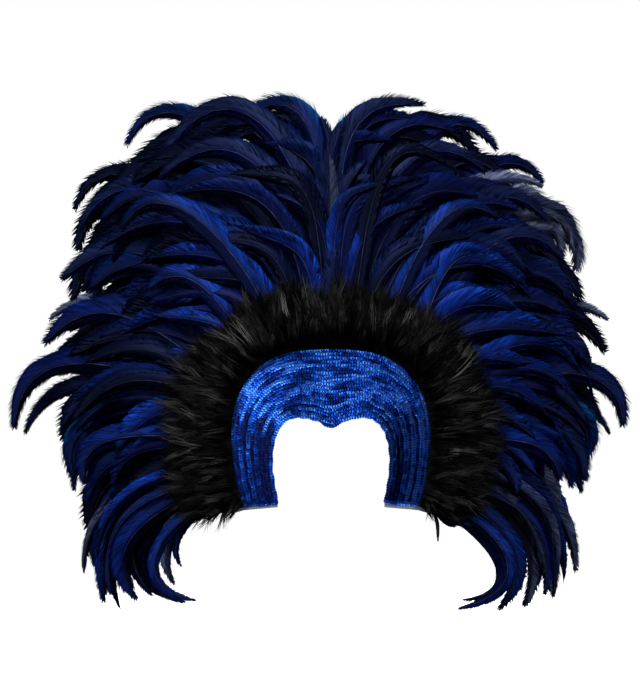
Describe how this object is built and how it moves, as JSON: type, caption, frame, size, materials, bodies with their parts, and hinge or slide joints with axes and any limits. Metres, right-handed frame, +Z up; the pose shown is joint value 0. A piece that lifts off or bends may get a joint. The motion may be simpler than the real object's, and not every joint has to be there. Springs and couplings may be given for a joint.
{
  "type": "showgirl feather headdress",
  "caption": "Horseshoe brow band covered in sequin rows, edged with a fur collar and rings of long curved cock feathers that fan out and droop at the tips.",
  "frame": {"origin": "back face of the band in the middle of the forehead, where it rests on the brow", "axes": "+Z up, -Y out of the face of the headdress towards the viewer, +X to the viewer's right"},
  "size_m": [0.767, 0.2924, 0.6455],
  "materials": {
    "buckram": "matt stiffened cloth",
    "sequins": "glossy cupped sequins",
    "fur": "soft black fur",
    "feather_royal": "satin feather",
    "feather_slate": "satin feather",
    "feather_dark": "satin feather"
  },
  "bodies": {
    "root": {"buckram_base": "buckram", "sequin_field": "sequins", "fur_trim": "fur", "coque_fringe_1": "feather_royal", "coque_fringe_2": "feather_slate", "coque_fringe_3": "feather_slate", "coque_fringe_4": "feather_royal", "coque_fringe_5": "feather_dark"}
  },
  "joints": []
}
